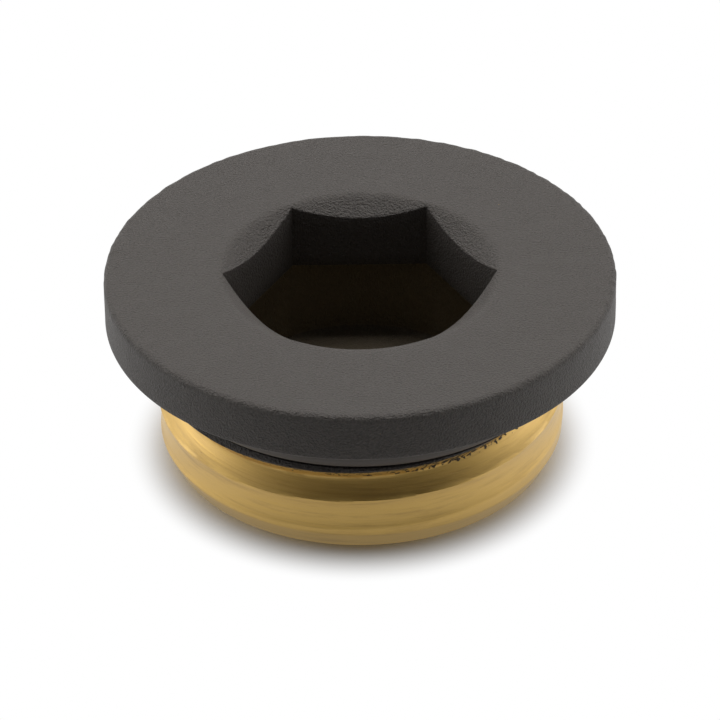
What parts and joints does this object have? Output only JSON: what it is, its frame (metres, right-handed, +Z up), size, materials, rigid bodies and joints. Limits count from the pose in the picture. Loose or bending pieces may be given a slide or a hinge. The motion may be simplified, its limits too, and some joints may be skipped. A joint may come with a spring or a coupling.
{
  "type": "blanking plug",
  "caption": "Round-headed blanking plug with a hexagonal key socket, a threaded brass spigot and a rubber sealing ring under the head.",
  "frame": {"origin": "centre of the spigot's end face, on the plug's axis, at the lowest point", "axes": "+Z up along the plug's axis, out of the mouth of the key socket; two corners of the hexagon lie on X"},
  "size_m": [0.026, 0.026, 0.01],
  "materials": {
    "turned_brass": "turned brass, with the head and the key socket sprayed satin graphite grey",
    "black_rubber": "matt moulded rubber"
  },
  "bodies": {
    "root": {"plug_body": "turned_brass", "sealing_ring": "black_rubber"}
  },
  "joints": []
}
